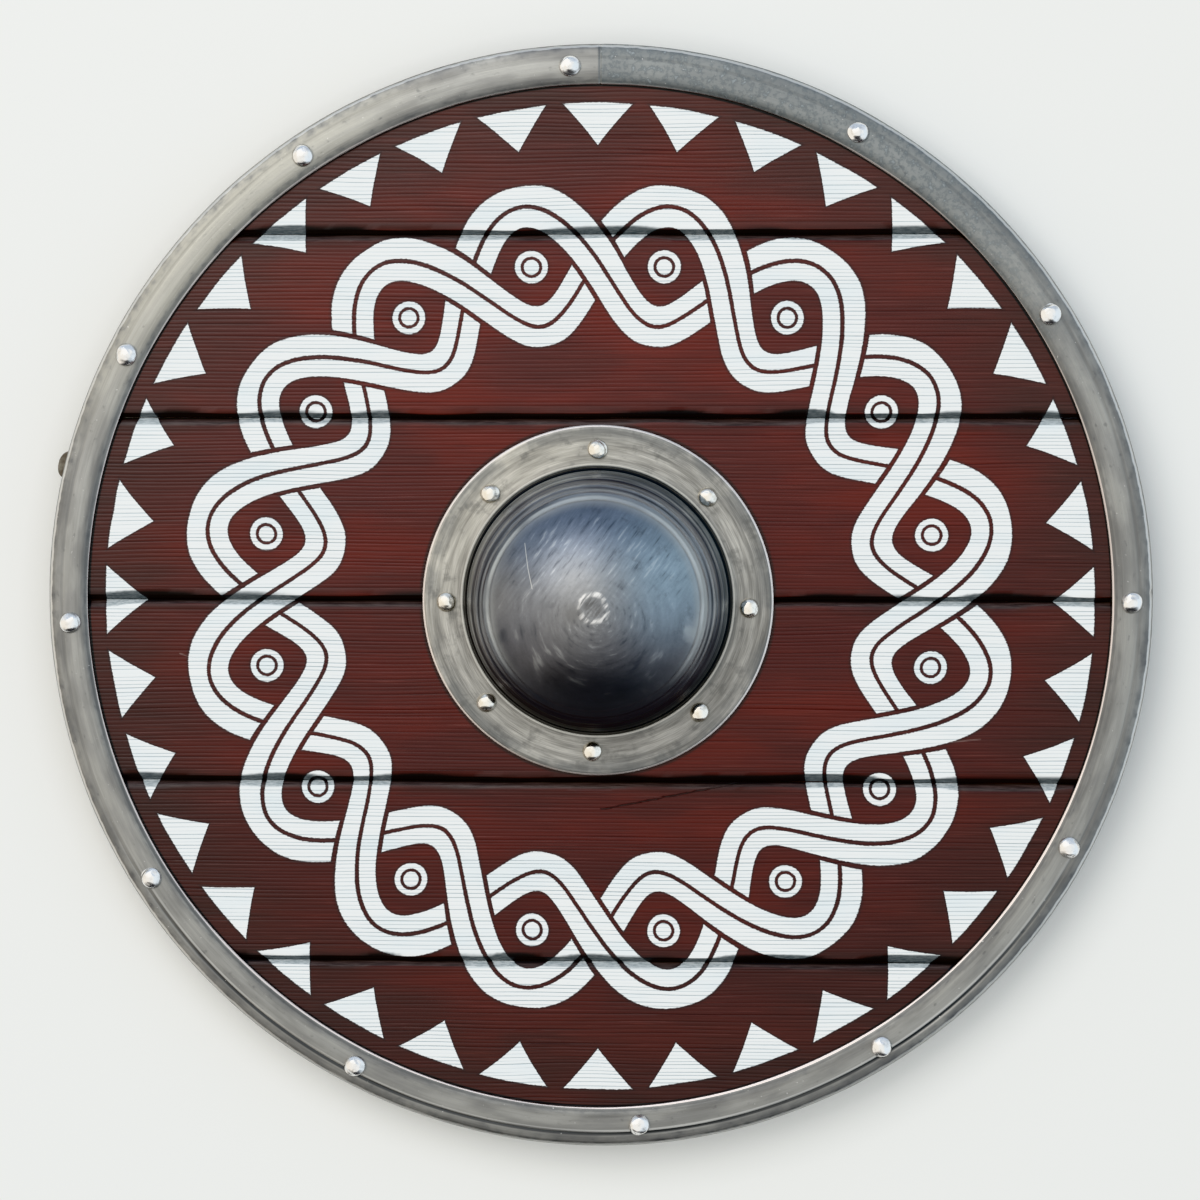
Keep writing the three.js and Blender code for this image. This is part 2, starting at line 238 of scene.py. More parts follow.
def plank(node, seed, material):
    """A plank's face is rows along x carried over u from the middle (or the hand hole) to each end: x =
    hole(y) + (reach(y) - hole(y)) u, where hole and reach are half chords of two circles. Its height is the
    front's, less the bevels, the grooves and a slow waviness. A wall goes down from its outline to a flat
    back."""
    random = np.random.default_rng(seed)
    low, high = box_of(node)
    first, last = max(low.y, -PLANK_OUTER_Y), min(high.y, PLANK_OUTER_Y)
    edges = [first, *(first + BEVEL_ROWS), *(last - BEVEL_ROWS[::-1]), last]
    hole_edge = [side * HAND_HOLE_R for side in (-1, 1) if first < side * HAND_HOLE_R < last]
    y, form, number = combed_rows(random, first + BEVEL, last - BEVEL, np.array(edges + hole_edge))
    hole = np.sqrt(np.clip(HAND_HOLE_R**2 - y**2, 0, None))
    reach = np.sqrt(BOARD_R**2 - y**2)
    share = np.linspace(0, 1, PLANK_COLUMNS + 1)
    half_x = hole[:, None] + (reach - hole)[:, None] * share
    x = np.hstack([-half_x[:, ::-1], half_x])
    shared_middle = np.r_[0 : PLANK_COLUMNS + 1, PLANK_COLUMNS : 2 * PLANK_COLUMNS + 1]

    def varied(rows, across, along):
        return streaks(random, rows, 2 * PLANK_COLUMNS + 1, across, along)[:, shared_middle]

    bevels = BEVEL + BEVEL_WANDER * varied(2, 0, 2.6)
    drop = np.zeros_like(x)
    for edge, side, bevel in ((first, 1, bevels[0]), (last, -1, bevels[1])):
        if abs(edge) < PLANK_OUTER_Y:
            drop += BEVEL_EASE * np.logaddexp(0, (bevel - side * (y[:, None] - edge)) / BEVEL_EASE)
    flat = np.exp(-drop / 0.4)
    groove_count = number.max() + 1
    strength = np.clip(0.9 + 0.22 * varied(groove_count, 0, 7), 0.3, 1.4)
    strength *= np.clip(0.9 + 0.18 * random.standard_normal((groove_count, 1)), 0.5, 1.4)
    groove = form[:, None] * strength[number] * flat
    waves = np.clip(varied(y.size, 45, 10), -2, 0)
    away = ease(y, first + BEVEL, first + 14) * ease(y, last - BEVEL, last - 14)
    away = away[:, None] * ease(np.hypot(x, y[:, None]), HAND_HOLE_R + 1, HAND_HOLE_R + 25)
    bent_y = y[:, None] + GROOVE_WANDER * varied(y.size, 26, 7) * away
    front = BOARD_FRONT - drop - GROOVE_DEPTH * groove + CUPPING * waves * flat

    left, right = np.split(np.arange(x.size).reshape(x.shape), 2, axis=1)
    round_hole = [[], []]
    beside_hole = np.flatnonzero(hole > 0)
    if beside_hole.size and beside_hole[0] == 0:
        top = beside_hole[-1] + 1
        round_hole[1] = np.append(left[1 : top + 1, -1], right[top - 1 : 0 : -1, 0])
    elif beside_hole.size:
        bottom = beside_hole[0] - 1
        round_hole[0] = np.append(right[-2 : bottom - 1 : -1, 0], left[bottom + 1 : -1, -1])
    outline = [right[0], right[1:, -1], right[-1, -2::-1], round_hole[0]]
    outline += [left[-1, ::-1], left[-2::-1, 0], left[0, 1:], round_hole[1]]
    outline = np.concatenate(outline).astype(int)
    face = np.stack([x, bent_y, front], axis=-1).reshape(-1, 3)
    outline = outline[np.any(face[outline] != face[np.roll(outline, -1)], axis=1)]
    back = face[outline] * (1, 1, 0) + (0, 0, BOARD_BACK)
    back_index = face.shape[0] + np.arange(outline.size)
    skin = grid_faces(*x.shape)
    skin = skin[skin[:, 0] % x.shape[1] != PLANK_COLUMNS]
    wall = np.stack([outline, back_index, np.roll(back_index, -1), np.roll(outline, -1)], axis=1)
    points = np.vstack([face, back])
    values = {"groove": np.append(groove, np.zeros(outline.size))}
    faces = [skin, wall, back_index[None, ::-1]]
    add_piece(f"{node}_combed", points, faces, material, node, values)


class Field:
    """A number at every point of a surface: a shader node's output, so that formulas read as ordinary
    sums."""

    def __init__(self, tree, socket):
        self.tree, self.socket = tree, socket

    def feed(self, slot, term):
        if isinstance(term, Field):
            self.tree.links.new(term.socket, slot)
        else:
            slot.default_value = term

    def math(self, operation, *terms):
        node = self.tree.nodes.new("ShaderNodeMath")
        node.operation = operation
        for slot, term in zip(node.inputs, terms):
            self.feed(slot, term)
        return Field(self.tree, node.outputs[0])

    def __add__(self, other):
        return self.math("ADD", self, other)

    def __sub__(self, other):
        return self.math("SUBTRACT", self, other)

    def __rsub__(self, other):
        return self.math("SUBTRACT", other, self)

    def __mul__(self, other):
        return self.math("MULTIPLY", self, other)

    def __truediv__(self, other):
        return self.math("DIVIDE", self, other)

    def __abs__(self):
        return self.math("ABSOLUTE", self)

    __radd__, __rmul__ = __add__, __mul__

    def sine(self):
        return self.math("SINE", self)

    def cosine(self):
        return self.math("COSINE", self)

    def root(self):
        return self.math("SQRT", self)

    def fraction(self):
        return self.math("FRACT", self)

    def lower(self, other):
        return self.math("MINIMUM", self, other)

    def higher(self, other):
        return self.math("MAXIMUM", self, other)

    def beyond(self, other):
        return self.math("GREATER_THAN", self, other)

    def off_multiple(self, step):
        """How far the number is from the nearest multiple of step."""
        return self.math("PINGPONG", self, step / 2)

    def rise(self, start, end):
        """0 up to start, 1 from end on, and a smooth rise between; it falls where start is over end."""
        node = self.tree.nodes.new("ShaderNodeMapRange")
        node.interpolation_type = "SMOOTHSTEP"
        for label, term in (("Value", self), ("From Min", start), ("From Max", end)):
            self.feed(node.inputs[label], term)
        return Field(self.tree, node.outputs["Result"])


class Finish:
    """A material. x, y and z are the place on the shield in millimetres, radius and angle the same round its
    axis."""

    def __init__(self, name, **constants):
        self.material = bpy.data.materials.new(name)
        self.material.use_nodes = True
        self.tree = self.material.node_tree
        self.shader = self.tree.nodes["Principled BSDF"]
        for label, value in constants.items():
            self.shader.inputs[label.replace("_", " ")].default_value = value
        place = self.tree.nodes.new("ShaderNodeTexCoord").outputs["Object"]
        parts = self.tree.nodes.new("ShaderNodeSeparateXYZ")
        self.tree.links.new(place, parts.inputs[0])
        self.x, self.y, self.z = (Field(self.tree, out) * 1000 for out in parts.outputs)
        self.radius = (self.x * self.x + self.y * self.y).root()
        self.angle = self.x.math("ARCTAN2", self.y, self.x)

    def value(self, label):
        node = self.tree.nodes.new("ShaderNodeAttribute")
        node.attribute_name = label
        return Field(self.tree, node.outputs["Fac"])

    def noise(self, x, y, z=0.0, detail=2.0, rough=0.5):
        """Smooth noise, mostly between 0.3 and 0.7, whose blotches are one unit of x, y and z across."""
        joined = self.tree.nodes.new("ShaderNodeCombineXYZ")
        for slot, term in zip(joined.inputs, (x, y, z)):
            self.x.feed(slot, term)
        node = self.tree.nodes.new("ShaderNodeTexNoise")
        node.inputs["Scale"].default_value = 1
        node.inputs["Detail"].default_value = detail
        node.inputs["Roughness"].default_value = rough
        self.tree.links.new(joined.outputs[0], node.inputs["Vector"])
        return Field(self.tree, node.outputs["Fac"])

    def ring_noise(self, along, across, centre=(0, 0), detail=2.0):
        """Noise drawn out round a centre: blotches `along` radians long and `across` millimetres wide."""
        x, y = self.x - centre[0], self.y - centre[1]
        radius = (x * x + y * y).root().higher(0.01)
        return self.noise(x / radius / along, y / radius / along, radius / across + self.z / across, detail)

    def mix(self, share, first, second):
        """A colour between two: plain colours are (red, green, blue)."""
        node = self.tree.nodes.new("ShaderNodeMix")
        node.data_type = "RGBA"
        self.x.feed(node.inputs[0], share)
        for slot, colour in ((node.inputs[6], first), (node.inputs[7], second)):
            self.x.feed(slot, colour if isinstance(colour, Field) else (*colour, 1))
        return Field(self.tree, node.outputs[2])

    def shade(self, colour, amount):
        """A colour made darker or lighter by a factor."""
        node = self.tree.nodes.new("ShaderNodeVectorMath")
        node.operation = "SCALE"
        self.x.feed(node.inputs[0], colour)
        self.x.feed(node.inputs["Scale"], amount)
        return Field(self.tree, node.outputs[0])

    def segment(self, start, end):
        """Distance from the line between two places, in millimetres."""
        run = (end[0] - start[0], end[1] - start[1])
        x, y = self.x - start[0], self.y - start[1]
        share = ((x * run[0] + y * run[1]) / (run[0] ** 2 + run[1] ** 2)).higher(0).lower(1)
        gap_x, gap_y = x - share * run[0], y - share * run[1]
        return (gap_x * gap_x + gap_y * gap_y).root()

    def wear(self, colour=None, roughness=None, height=None):
        """Sets what varies over the surface: colour, roughness, and height in millimetres."""
        if colour:
            self.tree.links.new(colour.socket, self.shader.inputs["Base Color"])
        if roughness:
            self.tree.links.new(roughness.socket, self.shader.inputs["Roughness"])
        if height:
            bump = self.tree.nodes.new("ShaderNodeBump")
            bump.inputs["Distance"].default_value = MM
            self.tree.links.new(height.socket, bump.inputs["Height"])
            self.tree.links.new(bump.outputs["Normal"], self.shader.inputs["Normal"])
        return self.material


BAND_R = 187.0  # the two strands swing to and fro across this circle
BAND_SWING = 33.0
BAND_LOBES = 8
STRAND_HALF_W = 11.0
STRAND_LINE = 1.2
STRAND_GAP = 3.0
DOT_R = 9.0
DOT_RING = (4.2, 6.0)
TEETH = 36
TOOTH_IN_R, TOOTH_OUT_R = 250.0, 273.0
TOOTH_HALF_W = 19.0


def ornament(finish, wobble):
    """How deep a place is inside the painted shapes, in millimetres, and negative outside them. A strand's
    middle runs at BAND_R plus or minus a sine of the angle; at every other crossing it passes under the other
    one."""
    radius, turn = finish.radius + wobble, finish.angle * BAND_LOBES
    swing = turn.sine() * BAND_SWING
    lean = turn.cosine() * (BAND_SWING * BAND_LOBES / BAND_R)
    lean = (lean * lean + 1).root()
    first = abs(radius - BAND_R - swing) / lean
    second = abs(radius - BAND_R + swing) / lean
    first_over = turn.cosine().beyond(0)
    shapes = []
    for own, other, over in ((first, second, first_over), (second, first, 1 - first_over)):
        strand = (STRAND_HALF_W - own).lower(own - STRAND_LINE)
        shapes.append(strand.lower(other - (STRAND_HALF_W + STRAND_GAP) + over * 1000))
    along = (finish.angle - np.pi / (2 * BAND_LOBES)).off_multiple(np.pi / BAND_LOBES) * BAND_R
    from_dot = (along * along + (radius - BAND_R) * (radius - BAND_R)).root()
    ring = (DOT_RING[0] - from_dot).higher(from_dot - DOT_RING[1])
    shapes.append((DOT_R - from_dot).lower(ring))
    from_tooth = finish.angle.off_multiple(2 * np.pi / TEETH) * TOOTH_OUT_R
    side = (radius - TOOTH_IN_R) * (TOOTH_HALF_W / (TOOTH_OUT_R - TOOTH_IN_R)) - from_tooth
    shapes.append(side.lower(TOOTH_OUT_R - radius))
    deepest = shapes[0]
    for shape in shapes[1:]:
        deepest = deepest.higher(shape)
    return deepest


SCRATCHES = (((184, 72), (214, 69)), ((180, -79), (211, -76)), ((-232, -30), (-214, -36)))
CRACK = ((83, -100), (2, -116))


def stained_wood():
    """Red-brown stain that gathers dark in the grooves and the joints, darker towards the rim, with worn silver
    paint.
    Light and shade are painted on: the board is lighter towards the top, with painted shadow under the rim's lip and
    round the boss's flange; the lower bevel of each joint is lit greyish and the upper one shaded near black, and the
    paint is shaded grey-blue in the grooves."""
    f = Finish("stained wood", IOR=1.46)
    groove = f.value("groove")
    fibres = f.noise(f.x / 16, f.y / 0.35, detail=3, rough=0.6)
    threads = f.noise(f.x / 45, f.y / 0.8, 4.0, detail=4, rough=0.6)
    clouds = f.noise(f.x / 120, f.y / 45, 7.0, detail=3)
    veils = f.noise(f.x / 70, f.y / 20, 19.0, detail=3)
    offset = ((f.y / PLANK_W + 0.5).fraction() - 0.5) * PLANK_W
    joint = abs(offset)
    below_face = BOARD_FRONT - f.z

    near_rim = f.radius.rise(200, 285) * (0.35 + veils * 1.2)
    stain_and_shade = f.mix(clouds.rise(0.40, 0.66), (0.070, 0.0165, 0.0140), (0.099, 0.0160, 0.0115))
    stain_and_shade = f.mix(veils.rise(0.46, 0.68) * 0.45, stain_and_shade, (0.054, 0.0170, 0.0150))
    stain_and_shade = f.mix(near_rim * 0.70, stain_and_shade, (0.038, 0.0200, 0.0170))
    # Painted light: the board is lighter towards the top, where the light comes from.
    stain_and_shade = f.shade(stain_and_shade, 0.80 + f.y.rise(-260, 260) * 0.38)
    stain_and_shade = f.shade(stain_and_shade, 1.10 - (threads - 0.5) * 1.15 - groove * 0.30)
    stain_and_shade = f.mix(threads.rise(0.42, 0.28) * 0.26, stain_and_shade, (0.19, 0.080, 0.070))
    smoky = f.noise(f.x / 45, f.y / 6, 2.0, detail=3).rise(0.3, 0.7)
    soot = joint.rise(10, 2.8) * (0.15 + smoky * 0.50)
    # Darker beside the joints; the ring just outside the boss's flange is a painted shadow.
    stain_and_shade = f.mix(soot.higher(f.radius.rise(99.5, 97.8) * 0.8), stain_and_shade, (0.022, 0.0140, 0.0120))
    scratch = f.segment(*SCRATCHES[0]).lower(f.segment(*SCRATCHES[1])).lower(f.segment(*SCRATCHES[2]))
    stain_and_shade = f.mix(scratch.rise(0.7, 0.2) * fibres.rise(0.35, 0.6) * 0.6, stain_and_shade, (0.26, 0.17, 0.15))
    crack = (f.segment(*CRACK) + (threads - 0.5) * 2.5).rise(0.6, 0.15)
    stain_and_shade = f.mix(crack * 0.75, stain_and_shade, (0.012, 0.008, 0.007))
    tooled = f.noise(f.x / 14, f.y / 0.9, 23.0, detail=4, rough=0.65)
    # Painted light and shade: the bevel below each joint faces the light and is lit greyish, the bevel above faces
    # away and is shaded near black.
    rubbed = f.mix(tooled.rise(0.3, 0.7), (0.036, 0.026, 0.024), (0.092, 0.068, 0.063))
    bevel = f.mix((offset + (smoky - 0.5) * 0.8).rise(-0.5, -1.5), (0.0075, 0.0055, 0.0050), rubbed)
    stain_and_shade = f.mix(below_face.rise(0.22, 0.70), stain_and_shade, bevel)
    # Painted shadow under the rim's lip.
    stain_and_shade = f.mix(f.radius.rise(281.4, 282.0), stain_and_shade, (0.003, 0.0025, 0.0025))

    ragged = (f.noise(f.x / 1.6, f.y / 0.7, 5.0, detail=2, rough=0.6) - 0.5) * 1.1
    depth = ornament(f, (f.noise(f.x / 35, f.y / 35, 3.0) - 0.5) * 2.0)
    stain_and_shade = f.mix(depth.rise(-1.9, -0.2) * 0.50, stain_and_shade, (0.016, 0.0135, 0.0140))
    # The paint is painted grey-blue in the grooves, as shade between the combed ridges.
    lines = groove.rise(0.05, 0.80) * (0.85 + (fibres - 0.5) * 0.9)
    silver = f.mix(veils.rise(0.45, 0.72) * 0.45, (0.86, 0.875, 0.865), (0.70, 0.79, 0.82))
    silver = f.mix(lines, silver, (0.40, 0.455, 0.475))
    silver = f.mix(threads.rise(0.55, 0.72) * 0.22, silver, (0.45, 0.50, 0.52))
    blots = f.noise(f.x / 5, f.y / 2.5, 31.0, detail=3, rough=0.7).rise(0.66, 0.78)
    silver = f.mix(blots * 0.5, silver, (0.42, 0.46, 0.48))
    speckle = f.noise(f.x / 4.5, f.y / 0.8, 6.0, detail=4, rough=0.7)
    in_joint = below_face.rise(0.22, 0.60)
    silver = f.mix(in_joint * (0.60 + speckle.rise(0.40, 0.62) * 0.35), silver, (0.27, 0.315, 0.33))
    # Painted shade on the bevel above each joint, which faces away from the light.
    silver = f.mix(in_joint * offset.rise(-0.4, 0.5) * (0.62 + speckle * 0.4), silver, (0.045, 0.055, 0.060))
    painted = (depth + ragged).rise(-0.25, 0.30) * speckle.rise(0.80, 0.74)
    face = f.mix(painted, stain_and_shade, silver)

    back_lines = f.noise(f.x / 70, f.y / 1.6, 9.0, detail=3)
    back = f.mix(back_lines.rise(0.3, 0.7), (0.055, 0.024, 0.017), (0.125, 0.052, 0.034))
    front = f.z.rise(BOARD_FRONT - 4, BOARD_FRONT - 3.6)
    colour = f.mix(front, back, face)
    gloss = 0.40 + groove * 0.12 + painted * 0.20 + soot * 0.12
    return f.wear(colour, gloss, fibres * 0.05 - crack * 0.3 - scratch.rise(0.6, 0.1) * 0.1 + painted * 0.06)


wood = stained_wood()
for number in range(1, 7):
    plank(f"plank_{number}", 40 + number, wood)


# ---- Rim ---------------------------------------------------------------------------------------------------
# One strip of steel sheet folded over the edge of the board; a crease is left where the fold was closed by hand. It
# was brushed round and blackened, and its cut lip is rubbed bare. Light and shade are painted on it: it is lighter at
# the top and the top left, with highlights on its crown, its fold, its lip and beside its crease, and shade in its
# crease, on its slopes and behind its lip. The two ends of the strip meet at the top of the shield.

RIM_R = box_of("rim")[1].x
RIM_STEPS = 720
RIM_WALK = 0.5  # spacing of the mesh across the front of the band
RIM_HIDDEN_WALK = 2.2
# The outside and the inside of the fold, as (inset from the outside, height over the board's face).
RIM_FRONT = [(22.5, 0.9), (22.35, 1.6), (21.3, 1.95), (20.5, 2.35)]
RIM_FRONT += [(18.5, 2.95), (14.5, 3.3), (9.5, 3.2), (5, 2.8)]
RIM_FOLD = [(2.2, 2.2), (0.55, 0.9), (0, -1.4), (0, -8.5), (3.5, -13.8), (22.5, -13.8)]
RIM_INSIDE = [(22.5, -12.3), (4.6, -12.3), (1.5, -8), (1.5, -1.6)]
RIM_INSIDE += [(3.2, 0.6), (9, 1.6), (17, 1.8), (22.3, 0.35)]
RIM_BAND_W = 22.5
CREASE_INSET = 7.6
CREASE_HALF_W = 0.75
CREASE_DEPTH = 0.5
CREASE_MIDDLE = np.radians(-88)  # it is deepest at the bottom of the shield
SEAM_ANGLE = np.radians(89.7)
SEAM_W = 0.5
SEAM_DEPTH = 0.5
NICK_ANGLE = np.radians(0.9)
NICK_DEPTH = 1.4
SMALL_MARKS, WIDE_MARKS = 0.05, 0.06  # how deep the two sizes of hammer marks are
LIP_WANDER = 0.22


def rounded(line, times):
    """Cuts every corner of a line a quarter of the way along its two edges, times over. The ends stay."""
    line = np.asarray(line, float)
    for _ in range(times):
        cuts = np.stack([0.75 * line[:-1] + 0.25 * line[1:], 0.25 * line[:-1] + 0.75 * line[1:]], axis=1)
        line = np.vstack([line[:1], cuts.reshape(-1, 2)[1:-1], line[-1:]])
    return line


def stepped(line, step):
    """Points along a line, a step apart."""
    reach = np.append(0, np.cumsum(np.linalg.norm(np.diff(line, axis=0), axis=1)))
    along = np.linspace(0, reach[-1], int(round(reach[-1] / step)) + 1)
    return np.stack([np.interp(along, reach, column) for column in line.T], axis=1)


def outwards(line):
    """The direction square to a line of (radius, height) at each point, on the left of its run."""
    run = np.gradient(line, axis=0)
    run /= np.linalg.norm(run, axis=1, keepdims=True)
    return np.stack([-run[:, 1], run[:, 0]], axis=1)


def turned(radius, height, angle):
    """Points at a radius and a height for each angle (rows) round the axis."""
    angle = angle[:, None]
    return np.stack([radius * np.cos(angle), radius * np.sin(angle), height + 0 * angle], axis=-1)


def angle_off(angle, middle):
    """How far angles are from a middle one, the short way round."""
    return np.abs((angle - middle + np.pi) % (2 * np.pi) - np.pi)


def rim(material):
    """A closed line of (radius, height) turned round the axis. The outside moves square to itself, in by a
    crease whose depth and place wander round the rim, by shallow hammer marks, by the seam and by one
    nick."""
    random = np.random.default_rng(11)
    outside = rounded(RIM_FRONT + RIM_FOLD, 4) * (-1, 1)
    corner = int(np.argmax(outside[:, 0] > -1.0))
    seen = stepped(outside[: corner + 1], RIM_WALK)
    hidden = stepped(outside[corner:], RIM_HIDDEN_WALK)
    outside = np.vstack([seen, hidden[1:]])
    inside = np.array(RIM_INSIDE) * (-1, 1)
    line = np.vstack([outside, inside])
    square = np.vstack([outwards(outside), np.zeros_like(inside)])
    seam = SEAM_ANGLE + np.array([-1.5, -0.5, 0.5, 1.5]) * SEAM_W / RIM_R
    angle = np.unique(np.append(np.linspace(-np.pi, np.pi, RIM_STEPS, endpoint=False), seam))
    inset = -line[:, 0]
    front = (np.arange(inset.size) < outside.shape[0]) * (line[:, 1] > -1.2)

    wander = streaks(random, 3, angle.size, 0, 14)
    depth = CREASE_DEPTH * np.clip(0.9 + 0.3 * wander[0], 0.3, 1.5)
    depth *= 0.14 + 0.86 * ease(angle_off(angle, CREASE_MIDDLE), np.radians(75), np.radians(35))
    place = CREASE_INSET + 0.3 * wander[1]
    crease = depth[:, None] * np.exp(-(((inset - place[:, None]) / CREASE_HALF_W) ** 2))
    marks = SMALL_MARKS * streaks(random, angle.size, inset.size, 3.5, 9)
    marks += WIDE_MARKS * streaks(random, angle.size, inset.size, 20, 16)
    seam_gap = SEAM_DEPTH * (angle_off(angle, SEAM_ANGLE) < SEAM_W / RIM_R)[:, None]
    from_nick = angle_off(angle, NICK_ANGLE) * RIM_R
    nick = NICK_DEPTH * np.exp(-((from_nick / 1.9) ** 2))[:, None] * np.exp(-(((inset - 0.6) / 1.8) ** 2))
    move = front * (marks - crease - seam_gap - nick)
    lip = LIP_WANDER * wander[2][:, None] * np.exp(-(((RIM_BAND_W - inset) / 4) ** 2)) * (line[:, 1] > 0)

    radius = RIM_R + line[:, 0] + square[:, 0] * move + lip
    height = BOARD_FRONT + line[:, 1] + square[:, 1] * move
    faces = grid_faces(angle.size, inset.size, closed_rows=True, closed_columns=True)
    add_piece("rim_folded", turned(radius, height, angle), [faces], material, "rim", smooth=0.9)


def blackened_steel():
    """Dull steel, brushed along the rim, dark where the blacking is left and mottled from the seam to the right.
    Light and shade are painted on it: it is lighter at the top and the top left, with highlights on its crown, its
    fold and beside its crease at the bottom, and shade on its slopes, in its crease and behind its lip. The bare lip
    is painted brighter and pinkish where it faces the light, as a reflection of the wood."""
    f = Finish("blackened steel", Metallic=1.0)
    inset = RIM_R - f.radius
    brushing = f.ring_noise(0.06, 0.35, detail=3)
    bands = f.ring_noise(0.30, 1.8, detail=2)
    clouds = f.ring_noise(0.12, 9.0, detail=3)
    mottle = f.noise(f.x / 3.4, f.y / 3.4, f.z / 3.4, detail=4, rough=0.65)
    smuts = f.ring_noise(0.02, 3.0, detail=4)
    top = f.y.rise(-200, 250)
    top_left_highlight = (f.y - f.x).rise(355, 430)

    steel = f.mix(clouds.rise(0.34, 0.66), (0.210, 0.208, 0.200), (0.330, 0.327, 0.308))
    # Painted highlight towards the top left.
    steel = f.mix(top_left_highlight, steel, (0.365, 0.355, 0.312))
    # Painted light: lighter towards the top.
    steel = f.shade(steel, 0.50 + top * 0.09 + brushing * 0.42 + bands * 0.42)
    # Painted highlight on the crown of the band.
    lit_crown = inset.rise(5, 10) * inset.rise(19, 13)
    steel = f.mix(lit_crown * 0.24, steel, (0.44, 0.44, 0.42))
    # Painted shade on the slopes either side of the crown, patchy with smuts.
    edges = inset.rise(8.5, 3.5).higher(inset.rise(16.5, 20.0))
    steel = f.mix(edges * (0.25 + smuts.rise(0.4, 0.7) * 0.45), steel, (0.155, 0.158, 0.160))
    patina = f.x.rise(1.2, 1.9) * f.y.rise(20, 120) * f.x.rise(290, 170)
    steel = f.mix(patina * 0.62, steel, (0.215, 0.235, 0.240))
    steel = f.mix(patina * mottle.rise(0.44, 0.60) * 0.60, steel, (0.140, 0.160, 0.170))
    steel = f.mix(patina * mottle.rise(0.58, 0.68) * 0.45, steel, (0.40, 0.43, 0.44))
    steel = f.mix(smuts.rise(0.62, 0.78) * 0.5, steel, (0.11, 0.112, 0.115))
    # Painted shade in the crease, strongest at the bottom, and a painted highlight just inside it at the bottom.
    at_bottom = f.y.rise(-110, -235)
    crease = abs(inset - CREASE_INSET + (bands - 0.5) * 0.9)
    crease_highlight = inset - CREASE_INSET - 1.5 + (bands - 0.5) * 0.9
    steel = f.mix(abs(crease_highlight).rise(0.9, 0.3) * at_bottom * 0.55, steel, (0.66, 0.66, 0.64))
    steel = f.mix(crease.rise(1.25, 0.45) * (0.16 + at_bottom * 0.69), steel, (0.050, 0.052, 0.055))
    # Painted highlight along the rounded fold.
    corner = abs(inset - 1.5 + (smuts - 0.5) * 1.2).rise(0.95, 0.35)
    steel = f.mix(corner * 0.72, steel, (0.74, 0.735, 0.71))
    # Painted shade behind the lip, where the band turns down to it, less at the top.
    shade_behind_lip = abs(inset - 20.4).rise(0.9, 0.3)
    steel = f.mix(shade_behind_lip * (0.50 - top * 0.40), steel, (0.10, 0.10, 0.098))
    # The lip is bare rubbed steel; it is painted brighter and pinkish where it faces the light, as a reflection of
    # the wood.
    lip = inset.rise(21.4, 21.7)
    steel = f.mix(lip * (0.82 - top * 0.40), steel, (0.86, 0.77, 0.73))
    pits = f.noise(f.x / 1.5, f.y / 1.5, f.z / 1.5, detail=2).rise(0.735, 0.78)
    steel = f.mix(pits * 0.7, steel, (0.70, 0.69, 0.67))
    roughness = 0.36 + brushing * 0.14 + mottle * 0.08 + patina * 0.06 - lip * 0.10
    return f.wear(steel, roughness, brushing * 0.05 + bands * 0.05 + mottle * patina * 0.06)


rim(blackened_steel())


# ---- Boss --------------------------------------------------------------------------------------------------
# A dome and its flange spun from one sheet of steel over the hand hole. Spinning left low rings above the foot and a
# worn ring round the tip. It was rubbed with a cloth in swirls; the flange is brushed round. Its blue top, its dark
# bottom, its bright rings and the shade in the groove at its foot are painted light and shade.

BOSS_TOP = box_of("boss")[1].z - BOARD_FRONT  # the boss's heights are over the board
BOSS_SHEET = 1.6
DOME_R = 72.0
DOME_FOOT = 4.4
BOSS_SIDES = 360
# The flange from the dome out, then its edge and underside, as (radius, height over the board).
FOOT_LINE = [(72.0, 4.4), (72.05, 2.6), (72.7, 1.45), (73.7, 1.6)]
FOOT_LINE += [(74.6, 2.35), (75.9, 2.2), (77.5, 1.9), (94.6, 1.9)]
EDGE_LINE = [(94.6, 1.9), (96.5, 1.8), (97.0, 1.1), (96.8, 0.4)]
EDGE_LINE += [(95, 0.3), (73, 0.3), (70.8, 0.5), (70.4, 2.2)]
SPUN_RINGS = ((70.3, 0.16), (68.2, 0.24), (65.0, 0.26), (60.8, 0.16), (56.5, 0.12))  # (radius, height)
# Rings painted bright where lit, as highlights on the spun ridges, as (radius, half width, strength), and darker
# rings between them, as radii.
BRIGHT_RINGS = ((58.2, 1.6, 0.75), (61.6, 0.7, 0.45), (65.4, 0.8, 0.70), (69.2, 0.6, 0.75))
DARK_RINGS = (63.4, 67.4, 70.8)
TIP_RING_R = 7.2
LONG_SCRATCH = ((-37.5, 34), (-35.5, 21), (-33, 10))


